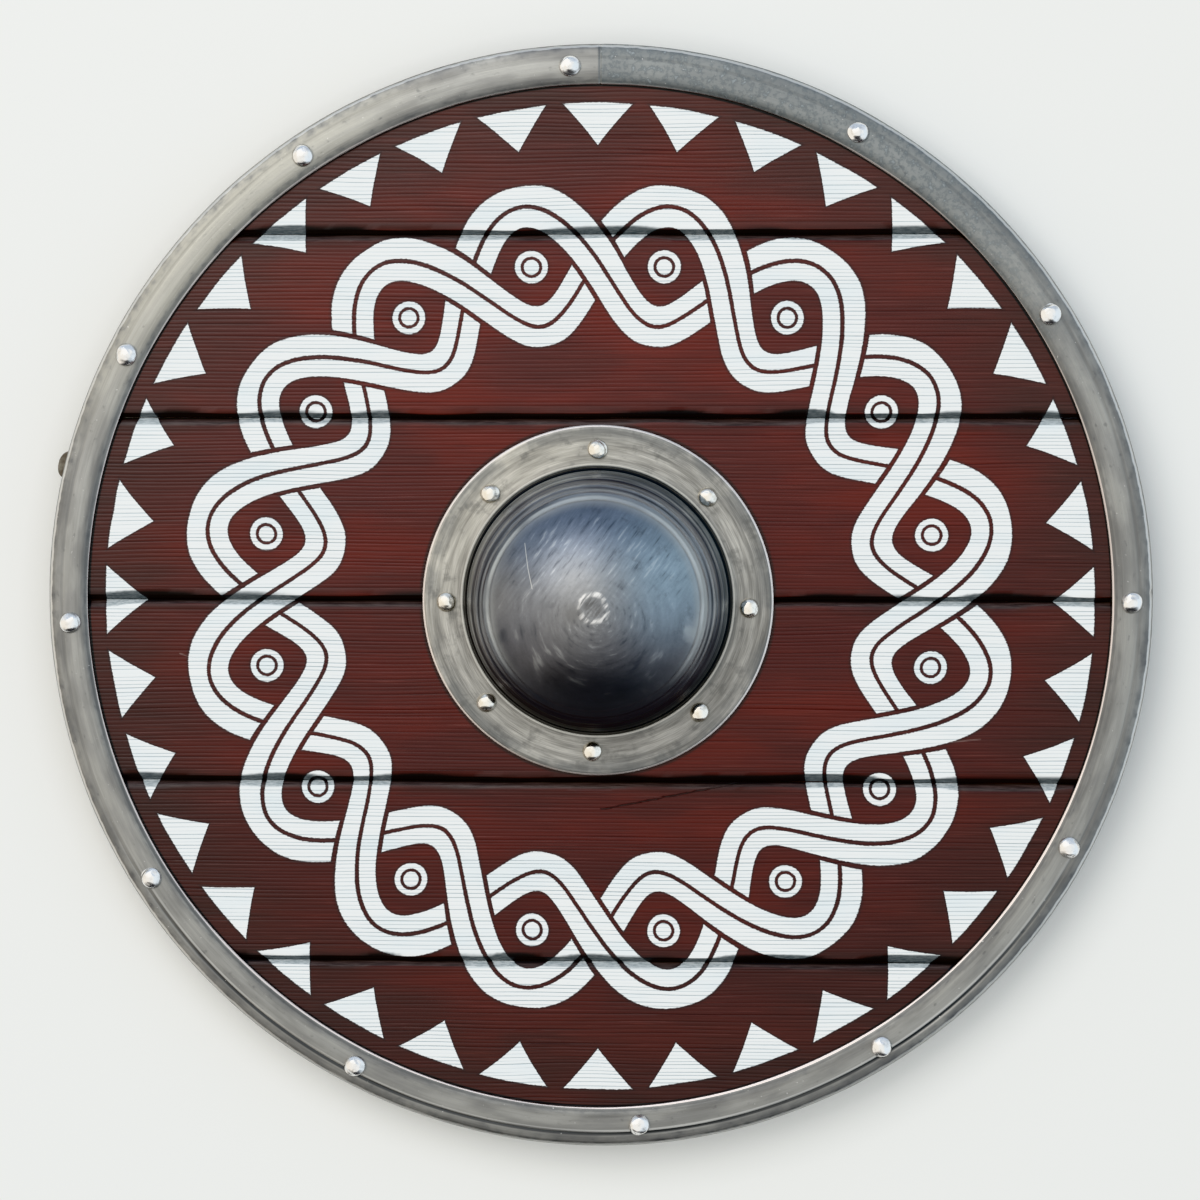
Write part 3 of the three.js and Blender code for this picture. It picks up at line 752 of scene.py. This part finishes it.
def boss(material):
    """A line of (radius, height) from the tip down the outside and back up the inside to the axis, turned.
    Rings, the tip's dip and long shallow dents move the outside square to itself."""
    random = np.random.default_rng(23)
    rise = np.linspace(np.pi / 2, 0, 130)
    dome = np.stack([DOME_R * np.cos(rise), DOME_FOOT + (BOSS_TOP - DOME_FOOT) * np.sin(rise)], axis=1)
    foot = stepped(rounded(FOOT_LINE, 3), 0.7)
    outside = np.vstack([dome[:-1], foot])
    edge = stepped(rounded(EDGE_LINE, 2), 1.5)[1:]
    rise = np.linspace(0.03, np.pi / 2, 24)
    hollow_r = DOME_R - BOSS_SHEET
    hollow = np.stack([hollow_r * np.cos(rise), 0.3 + (BOSS_TOP - BOSS_SHEET - 0.3) * np.sin(rise)], axis=1)
    line = np.vstack([outside, edge, hollow])
    line[[0, -1], 0] = 0

    along = np.append(0, np.cumsum(np.linalg.norm(np.diff(outside, axis=0), axis=1)))
    on_dome = outside[:, 1] > DOME_FOOT
    rings = np.zeros(outside.shape[0])
    for ring_r, ring_height in SPUN_RINGS:
        from_ring = along - np.interp(ring_r, dome[:, 0], along[: dome.shape[0]])
        crest = np.exp(-((from_ring / 0.9) ** 2))
        trough = np.exp(-(((from_ring - 2.1) / 1.1) ** 2))
        rings += ring_height * (crest - 0.8 * trough)
    radius = outside[:, 0]
    tip = 0.12 * np.exp(-(((radius - TIP_RING_R) / 1.6) ** 2)) - 0.35 * np.exp(-((radius / 4.5) ** 2))
    angle = np.linspace(-np.pi, np.pi, BOSS_SIDES, endpoint=False)
    dents = streaks(random, angle.size, radius.size, 14, 10) * np.clip(radius / 40, 0, 1) ** 2
    move = rings * on_dome + tip * on_dome + dents * 0.05
    move = np.pad(move, ((0, 0), (0, line.shape[0] - radius.size)))
    square = np.pad(outwards(outside), ((0, line.shape[0] - radius.size), (0, 0)))
    square[0] = (0, 1)
    points_r = line[:, 0] + square[:, 0] * move
    points_z = BOARD_FRONT + line[:, 1] + square[:, 1] * move
    faces = grid_faces(angle.size, line.shape[0], closed_rows=True)
    add_piece("boss_spun", turned(points_r, points_z, angle), [faces], material, "boss", smooth=0.9)


def painted_sky_steel():
    """Steel, rubbed paler round the tip in broad soft strokes, with spun rings near its foot. Light is painted on the
    dome: a blue reflection of the sky over its top, a pale blue highlight on the right, warm light on the left, a
    hazy highlight left of the middle, a dark reflection at the bottom, and a lighter foot and bright rings where lit.
    The flange is warmer, brushed round, painted lighter at the top left and darker at the bottom right, and dark
    towards its bright edge. The groove at the dome's foot is painted near black as shade."""
    f = Finish("steel with painted sky", Metallic=1.0)
    over_board = f.z - BOARD_FRONT
    flange = f.radius.rise(72.5, 73.4) * over_board.rise(8, 6)
    along, across = f.x * 0.6 + f.y * 0.8, f.y * 0.6 - f.x * 0.8
    round_rub = f.ring_noise(0.45, 1.9, (2, -3), detail=3)
    slanted_rub = f.noise(along / 11, across / 1.8, f.z / 25, detail=3)
    slanted = f.y.rise(-14, 26) * f.radius.rise(62, 46)
    rub = round_rub + (slanted_rub - round_rub) * slanted
    haze = f.noise(f.x / 24, f.y / 24, f.z / 24, detail=4, rough=0.6)
    smuts = f.noise(f.x / 9, f.y / 9, f.z / 9, detail=4, rough=0.6)
    grain = f.noise(f.x / 1.3, f.y / 1.3, f.z / 1.3, detail=3, rough=0.6)

    def near(x, y, reach):
        gap_x, gap_y = f.x - x, f.y - y
        return (gap_x * gap_x + gap_y * gap_y).root().rise(reach, 0)

    # Painted reflection: blue sky over the top of the dome, darker steel below.
    dome = f.mix(f.y.rise(-34, 40), (0.140, 0.140, 0.150), (0.165, 0.195, 0.245))
    # Painted light: a pale blue highlight on the right, warm light on the left and a hazy highlight left of the
    # middle.
    dome = f.mix(near(46, 22, 58) * 0.80, dome, (0.33, 0.41, 0.46))
    dome = f.mix(near(-58, 8, 34) * 0.45, dome, (0.30, 0.29, 0.27))
    dome = f.mix(near(-8, 6, 44) * (0.35 + haze * 0.5), dome, (0.34, 0.335, 0.32))
    dome = f.shade(dome, 0.30 + rub * 0.85 + haze * 0.35 + grain * 0.20)
    dome = f.mix(rub.rise(0.58, 0.74) * 0.28, dome, (0.60, 0.62, 0.61))
    dome = f.mix(rub.rise(0.42, 0.26) * 0.40, dome, (0.060, 0.066, 0.082))
    dome = f.mix(smuts.rise(0.58, 0.74) * 0.30, dome, (0.080, 0.082, 0.090))
    # Painted reflection of the dim room: near black at the bottom.
    dome = f.mix(f.y.rise(-22, -64) * 0.66, dome, (0.048, 0.048, 0.051))
    fades = f.ring_noise(0.8, 40, detail=2)
    lit = f.y.rise(-48, -5)
    fine_rings = f.ring_noise(1.4, 0.9, detail=2)
    low_dome = f.radius.rise(52, 60) * over_board.rise(2, 5)
    dome = f.mix(low_dome * lit * 0.60, dome, (0.40, 0.43, 0.45))
    dome = f.mix(low_dome * fine_rings.rise(0.50, 0.64) * lit * 0.45, dome, (0.50, 0.50, 0.465))
    dome = f.mix(low_dome * fine_rings.rise(0.48, 0.36) * 0.55, dome, (0.050, 0.056, 0.068))
    # Painted highlights on the spun rings, only where lit.
    for ring_r, half_width, strength in BRIGHT_RINGS:
        ring = abs(f.radius - ring_r + (haze - 0.5) * 1.5).rise(half_width, half_width * 0.3)
        dome = f.mix(ring * fades.rise(0.40, 0.60) * lit * strength * low_dome, dome, (0.68, 0.72, 0.72))
    for ring_r in DARK_RINGS:
        ring = abs(f.radius - ring_r).rise(0.9, 0.3)
        dome = f.mix(ring * fades.rise(0.66, 0.44) * over_board.rise(2, 5) * 0.50, dome, (0.035, 0.038, 0.046))
    broken = slanted_rub.rise(0.40, 0.60)
    tip_ring = abs(f.radius - TIP_RING_R + (smuts - 0.5) * 6).rise(2.0, 0.3)
    dome = f.mix(tip_ring * broken * 0.80, dome, (0.78, 0.77, 0.75))
    tip = (f.radius + (smuts - 0.5) * 8).rise(6.5, 3.0) * slanted_rub.rise(0.62, 0.42)
    dome = f.mix(tip * 0.7, dome, (0.13, 0.128, 0.125))
    dome = f.mix(near(-11, -3, 9) * 0.55, dome, (0.15, 0.148, 0.145))
    long_scratch = f.segment(*LONG_SCRATCH[:2]).lower(f.segment(*LONG_SCRATCH[1:]))
    dome = f.mix(long_scratch.rise(0.30, 0.10) * 0.65, dome, (0.62, 0.63, 0.62))

    brushing = f.ring_noise(0.14, 0.45, detail=3)
    sweeps = f.ring_noise(0.35, 2.6, detail=3)
    side = f.y - f.x
    band = f.mix(brushing.rise(0.3, 0.7), (0.270, 0.264, 0.245), (0.400, 0.390, 0.360))
    # Painted highlight towards the top left of the flange and painted shade towards its bottom right.
    band = f.mix(side.rise(40, 135) * 0.45, band, (0.53, 0.505, 0.44))
    band = f.mix(side.rise(-30, -135) * 0.40, band, (0.185, 0.182, 0.175))
    band = f.shade(band, 0.22 + sweeps * 1.56)
    stained_edge = f.radius.rise(84, 95) * haze.rise(0.34, 0.58)
    band = f.mix(stained_edge * 0.62, band, (0.135, 0.142, 0.145))
    band = f.mix(f.radius.rise(79, 75) * 0.45, band, (0.145, 0.142, 0.136))
    band = f.mix(smuts.rise(0.52, 0.70) * 0.50, band, (0.13, 0.13, 0.125))
    edge = f.radius.rise(95.7, 96.1)
    band = f.mix(edge * (0.65 + grain * 0.5), band, (0.88, 0.82, 0.78))
    band = f.mix(abs(f.radius - 75.1).rise(0.9, 0.3) * 0.6, band, (0.66, 0.65, 0.60))
    # Painted shade: the groove at the dome's foot near black.
    groove = f.radius.rise(71.8, 72.1) * f.radius.rise(73.7, 73.2) * over_board.rise(5, 2.5)
    colour = f.mix(groove * 0.93, f.mix(flange, dome, band), (0.012, 0.012, 0.013))
    roughness = 0.36 + haze * 0.12 + flange * 0.04 + smuts * 0.05
    return f.wear(colour, roughness, rub * (1 - flange) * 0.06 + (brushing + sweeps) * flange * 0.06)


boss(painted_sky_steel())


# ---- Rivets ------------------------------------------------------------------------------------------------
# Twelve rivets hold the rim and eight the boss, two of those through the grip. Each is a steel pin with a round head,
# hammered over behind, so that no two are quite alike. Their heads are polished by handling.

RIM_HEAD_HEIGHT = 3.6
BOSS_HEAD_HEIGHT = 3.8
RIM_SKIRT = 1.0  # how far a head's edge reaches down to the sheet that slopes away under it
BOSS_SKIRT = 0.5
SHANK_R = 2.3
TAIL_R = 4.6
TAIL_HEIGHT = 1.5
RIVET_SIDES = 36


def rivet(node, name, seed, head_height, skirt, material):
    """A line of (radius, height) from the top of the head to the bottom of the tail, turned. The head is a
    quarter of an oval, moved by dents and stretched a little one way."""
    random = np.random.default_rng(seed)
    low, high = box_of(node)
    middle = (low + high) / 2
    head_r = (high.x - low.x) / 2
    seat = high.z - head_height
    tail = low.z
    round_off = np.linspace(0, np.pi / 2, 14)
    head = np.stack([head_r * np.sin(round_off), seat + head_height * np.cos(round_off) ** 1.15], axis=1)
    pin = [(head_r * 0.97, seat - skirt), (SHANK_R, seat - skirt), (SHANK_R, tail + TAIL_HEIGHT)]
    hammered = [(TAIL_R * 0.9, tail + TAIL_HEIGHT), (TAIL_R, tail + 1.1)]
    hammered += [(TAIL_R * 0.75, tail + 0.35), (0, tail)]
    line = np.vstack([head, pin, hammered])
    angle = np.linspace(-np.pi, np.pi, RIVET_SIDES, endpoint=False)
    dents = streaks(random, RIVET_SIDES, line.shape[0], 2.2, 1.6) * np.clip(line[:, 0] / 3, 0, 1) ** 2
    outer = line[:, 0] > SHANK_R + 0.01
    lean = random.uniform(0, np.pi)
    stretch = 1 + 0.025 * np.cos(2 * (angle - lean))[:, None] * outer
    radius = line[:, 0] * stretch + 0.10 * dents * outer
    height = line[:, 1] + 0.13 * dents * outer * (line[:, 1] > seat - 0.1)
    points = turned(radius, height, angle) + np.array([middle.x, middle.y, 0])
    faces = grid_faces(RIVET_SIDES, line.shape[0], closed_rows=True)
    add_piece(name, points, [faces], material, node, smooth=1.0)


def polished_steel(name, bright, dull):
    """Bright steel, mottled by a film, with a few dark pits."""
    f = Finish(name, Metallic=1.0)
    film = f.noise(f.x / 3, f.y / 3, f.z / 3, detail=3)
    pits = f.noise(f.x / 0.8, f.y / 0.8, f.z / 0.8, detail=2, rough=0.6)
    colour = f.mix(film.rise(0.42, 0.72), bright, dull)
    colour = f.mix(pits.rise(0.66, 0.76) * 0.45, colour, (0.22, 0.21, 0.19))
    return f.wear(colour, 0.15 + film * 0.14, pits * 0.05 + film * 0.05)


rim_head_steel = polished_steel("polished steel", (0.90, 0.89, 0.87), (0.70, 0.69, 0.67))
boss_head_steel = polished_steel("warm polished steel", (0.95, 0.91, 0.83), (0.74, 0.69, 0.60))
for number in range(1, 13):
    name = f"rim_rivet_{number}"
    rivet(name, f"{name}_domed", 100 + number, RIM_HEAD_HEIGHT, RIM_SKIRT, rim_head_steel)
for number in range(1, 9):
    name = f"boss_rivet_{number}"
    rivet(name, f"{name}_domed", 200 + number, BOSS_HEAD_HEIGHT, BOSS_SKIRT, boss_head_steel)


# ---- Grip and battens --------------------------------------------------------------------------------------
# Three planed bars of plain oiled ash cross the planks behind and hold them together. The middle one is the grip: it
# spans the hand hole, where it is rounded for the hand, and it is sunk for the tails of two rivets.

BAR_TIP_T = 8.0
BAR_RAMP = 24.0
GRIP_HAND_HALF_W = 14.0
GRIP_HAND_END = 52.0
GRIP_SHOULDER = 16.0
GRIP_HAND_POWER = 2.7  # a section's power runs from 2, an oval, to infinity, a rectangle
BAR_POWER = 11.0
TAIL_SINK_R = 6.5
TAIL_SINK_DEPTH = 3.5
BAR_ROW = 4.0
BAR_AROUND = 88


def bar(node, name, material, hand_half_width=None, sinks=()):
    """Sections along Y: the points (u, v) of a square's edge, divided by (|u|^n + |v|^n)^(1/n), scaled to the
    bar's width and thickness there. The back slopes up at both tips. A sink lifts the back inside a
    circle."""
    low, high = box_of(node)
    middle_x, half_w = (low.x + high.x) / 2, (high.x - low.x) / 2
    row_count = int(round((high.y - low.y) / BAR_ROW)) + 1
    near_sinks = [sink.y + np.linspace(-8, 8, 33) for sink in sinks]
    near_tips = [side * (high.y - np.array([0, 0.25, 0.7, 1.3])) for side in (-1, 1)]
    y = np.unique(np.concatenate([np.linspace(low.y, high.y, row_count), *near_sinks, *near_tips]).round(3))
    y = y[:, None]
    from_tip = high.y - np.abs(y)
    thick = high.z - low.z
    ramp = np.clip(1 - from_tip / BAR_RAMP, 0, 1) * (thick - BAR_TIP_T)
    power = np.full_like(y, BAR_POWER)
    if hand_half_width:
        hand = 1 - ease(np.abs(y), GRIP_HAND_END, GRIP_HAND_END + GRIP_SHOULDER)
        half_w = half_w + (hand_half_width - half_w) * hand
        power = BAR_POWER + (GRIP_HAND_POWER - BAR_POWER) * hand
    worn = 0.8 * np.exp(-from_tip / 0.5)  # the arris at each tip
    walk = np.linspace(0, 8, BAR_AROUND, endpoint=False)
    u = np.clip(np.abs((walk + 3) % 8 - 4) - 2, -1, 1)
    v = np.clip(np.abs((walk + 1) % 8 - 4) - 2, -1, 1)
    size = (np.abs(u) ** power + np.abs(v) ** power) ** (1 / power)
    x = middle_x + (half_w - worn) * u / size
    z = low.z + ramp + worn + (thick - ramp - 2 * worn) * (0.5 + 0.5 * v / size)
    for sink in sinks:
        from_sink = np.hypot(x - sink.x, y - sink.y)
        z = np.where(v < 0, z + TAIL_SINK_DEPTH * ease(from_sink, TAIL_SINK_R + 0.3, TAIL_SINK_R - 0.6), z)
    points = np.stack([x, y + 0 * x, z], axis=-1)
    skin = grid_faces(y.size, BAR_AROUND, closed_columns=True)
    near_end = np.arange(BAR_AROUND)[None, :]
    far_end = near_end[:, ::-1] + (y.size - 1) * BAR_AROUND
    faces = [skin[:, ::-1], near_end[:, ::-1], far_end[:, ::-1]]
    add_piece(name, points, faces, material, node, smooth=0.7)


def oiled_ash():
    """Pale brown wood with its grain along Y, darker where hands and the floor have rubbed it."""
    f = Finish("oiled ash", IOR=1.45)
    bend = f.noise(f.x / 12, f.y / 90, f.z / 12) * 1.6
    growth = f.noise(f.x / 5 + bend, f.y / 260, f.z / 5, detail=3)
    pores = f.noise(f.x / 0.6, f.y / 16, f.z / 0.6, detail=3, rough=0.6)
    dirt = f.noise(f.x / 18, f.y / 40, f.z / 18, detail=3)
    colour = f.mix(growth.rise(0.36, 0.64), (0.20, 0.112, 0.058), (0.34, 0.215, 0.120))
    colour = f.mix(pores.rise(0.54, 0.66) * 0.6, colour, (0.105, 0.055, 0.028))
    held = abs(f.y).rise(70, 30) * abs(f.x).rise(40, 20)
    colour = f.mix(dirt.rise(0.5, 0.8) * 0.4 + held * 0.3, colour, (0.085, 0.048, 0.028))
    return f.wear(colour, 0.58 - held * 0.14 + pores * 0.12, pores * 0.10 + growth * 0.05)


ash = oiled_ash()
through_grip = [sum(box_of(f"boss_rivet_{number}"), Vector()) / 2 for number in (1, 5)]
bar("grip", "grip_shaped", ash, GRIP_HAND_HALF_W, through_grip)
for side in ("left", "right"):
    bar(f"batten_{side}", f"batten_{side}_planed", ash)


# ---- Bar screws --------------------------------------------------------------------------------------------
# Slotted countersunk screws hold the bars to the planks from behind, each turned home by hand at its own angle.

SCREW_HEAD_R = 4.2
SCREW_CONE = 3.0
SCREW_SHANK_R = 1.9
SLOT_HALF_W = 0.5
SLOT_DEPTH = 1.0
SCREW_SIDES = 64


def screw(node, seed, material):
    """A line of (radius, height) from the tip down the shank and the cone to the middle of the face, turned.
    The face is sunk wherever it is nearer than the slot's half width to a line across it."""
    random = np.random.default_rng(seed)
    low, high = box_of(node)
    across = np.linspace(SCREW_HEAD_R - 0.15, 0, 15)
    face = np.stack([across, np.zeros_like(across)], axis=1)
    body = [(0, high.z - low.z), (0.4, high.z - low.z), (SCREW_SHANK_R, high.z - low.z - 5)]
    cone = [(SCREW_SHANK_R, SCREW_CONE), (SCREW_HEAD_R, 0.25)]
    line = np.vstack([body, cone, face])
    angle = np.linspace(-np.pi, np.pi, SCREW_SIDES, endpoint=False)
    off_slot = np.abs(line[:, 0] * np.sin(angle - random.uniform(0, np.pi))[:, None])
    on_face = np.arange(line.shape[0]) >= line.shape[0] - across.size
    height = low.z + line[:, 1] + SLOT_DEPTH * ease(off_slot, SLOT_HALF_W + 0.08, SLOT_HALF_W - 0.08) * on_face
    place = np.array([(low.x + high.x) / 2, (low.y + high.y) / 2, 0])
    faces = grid_faces(SCREW_SIDES, line.shape[0], closed_rows=True)
    points = turned(line[:, 0], height, angle) + place
    add_piece(f"{node}_slotted", points, [faces], material, node, smooth=0.6)


screw_steel = polished_steel("dull steel", (0.52, 0.51, 0.49), (0.34, 0.33, 0.31))
for number in range(1, 11):
    screw(f"bar_screw_{number}", 300 + number, screw_steel)


# ---- Hanging tab -------------------------------------------------------------------------------------------
# The end of a thick leather strap, nailed behind the board with one round-headed nail. It bends down under the rim
# and just reaches past it at the left.

tab_low, tab_high = box_of("hanging_tab")
nail_low, nail_high = box_of("tab_nail")
tab_nail_place = (nail_low + nail_high) / 2
TAB_DIRECTION = Vector((tab_nail_place.x, tab_nail_place.y)).normalized()
TAB_FROM_R, TAB_TO_R = 240.0, 311.0
TAB_W, TAB_T = 15.5, 3.0
TAB_BEND_R = 279.0
TAB_END_R = 6.0  # how far from its outer end the strap begins to close
NAIL_SHANK_R = 1.3


def hanging_tab(material):
    """Sections along the strap, each a flat oval of a high power. The strap's height eases from one level to
    the other at the bend, and its outer end closes in a half round."""
    random = np.random.default_rng(61)
    straight = np.linspace(TAB_FROM_R, TAB_TO_R - TAB_END_R, 90)
    closing = TAB_TO_R - TAB_END_R * np.cos(np.linspace(0.05, 1.55, 22))
    along = np.unique(np.concatenate([straight, closing]))[:, None]
    top, bottom = tab_high.z - TAB_T / 2, tab_low.z + TAB_T / 2
    level = top + (bottom - top) * ease(along, TAB_BEND_R - 5, TAB_BEND_R + 5)
    past = np.clip(along - (TAB_TO_R - TAB_END_R), 0, TAB_END_R) / TAB_END_R
    close = np.sqrt(np.clip(1 - past**2.6, 0.002, 1))
    begin = np.sqrt(np.clip((along - TAB_FROM_R) / 1.2 + 0.05, 0, 1))
    walk = np.linspace(0, 2 * np.pi, 56, endpoint=False)
    u = np.sign(np.cos(walk)) * np.abs(np.cos(walk)) ** 0.45
    v = np.sign(np.sin(walk)) * np.abs(np.sin(walk)) ** 0.45
    uneven = 0.16 * streaks(random, along.size, walk.size, 5, 4)
    side = (TAB_W / 2 + uneven) * u * close * begin
    height = level + (TAB_T / 2) * v * close**0.5 * begin + 0.12 * streaks(random, along.size, walk.size, 9, 6)
    height = np.clip(height, tab_low.z, tab_high.z)
    x = along * TAB_DIRECTION.x - side * TAB_DIRECTION.y
    y = along * TAB_DIRECTION.y + side * TAB_DIRECTION.x
    skin = grid_faces(along.size, walk.size, closed_columns=True)
    inner = np.arange(walk.size)[None, :]
    outer = inner[:, ::-1] + (along.size - 1) * walk.size
    points = np.stack([x, y, height], axis=-1)
    add_piece("hanging_tab_cut", points, [skin, inner, outer], material, "hanging_tab", smooth=0.9)


def worn_leather():
    """Grey-brown suede, scuffed pale, darker and shiny round its nail."""
    f = Finish("worn leather", IOR=1.45, Sheen_Weight=0.25, Sheen_Roughness=0.5)
    nap = f.noise(f.x / 0.5, f.y / 0.5, f.z / 0.5, detail=4, rough=0.7)
    scuffs = f.noise(f.x / 6, f.y / 6, f.z / 6, detail=4, rough=0.65)
    colour = f.mix(scuffs.rise(0.35, 0.65), (0.115, 0.095, 0.072), (0.235, 0.215, 0.175))
    colour = f.shade(colour, 0.6 + nap * 0.8)
    x, y = f.x - tab_nail_place.x, f.y - tab_nail_place.y
    by_nail = (x * x + y * y).root().rise(9, 5)
    colour = f.mix(by_nail * 0.6, colour, (0.05, 0.04, 0.032))
    return f.wear(colour, 0.85 - by_nail * 0.25, nap * 0.16 + scuffs * 0.2)


def nail(material):
    """A line of (radius, height) from the point down the shank to the middle of a low round head, turned."""
    round_off = np.linspace(np.pi / 2, 0, 9)
    head_r, head_height = (nail_high.x - nail_low.x) / 2, 1.4
    head = np.stack([head_r * np.sin(round_off), nail_low.z + head_height * (1 - np.cos(round_off))], axis=1)
    shank = [(0, nail_high.z), (NAIL_SHANK_R, nail_high.z - 3), (NAIL_SHANK_R, nail_low.z + head_height)]
    line = np.vstack([shank, head])
    angle = np.linspace(-np.pi, np.pi, 32, endpoint=False)
    place = np.array([tab_nail_place.x, tab_nail_place.y, 0])
    faces = grid_faces(angle.size, line.shape[0], closed_rows=True)
    points = turned(line[:, 0], line[:, 1], angle) + place
    add_piece("tab_nail_driven", points, [faces], material, "tab_nail", smooth=0.8)


hanging_tab(worn_leather())
nail(screw_steel)
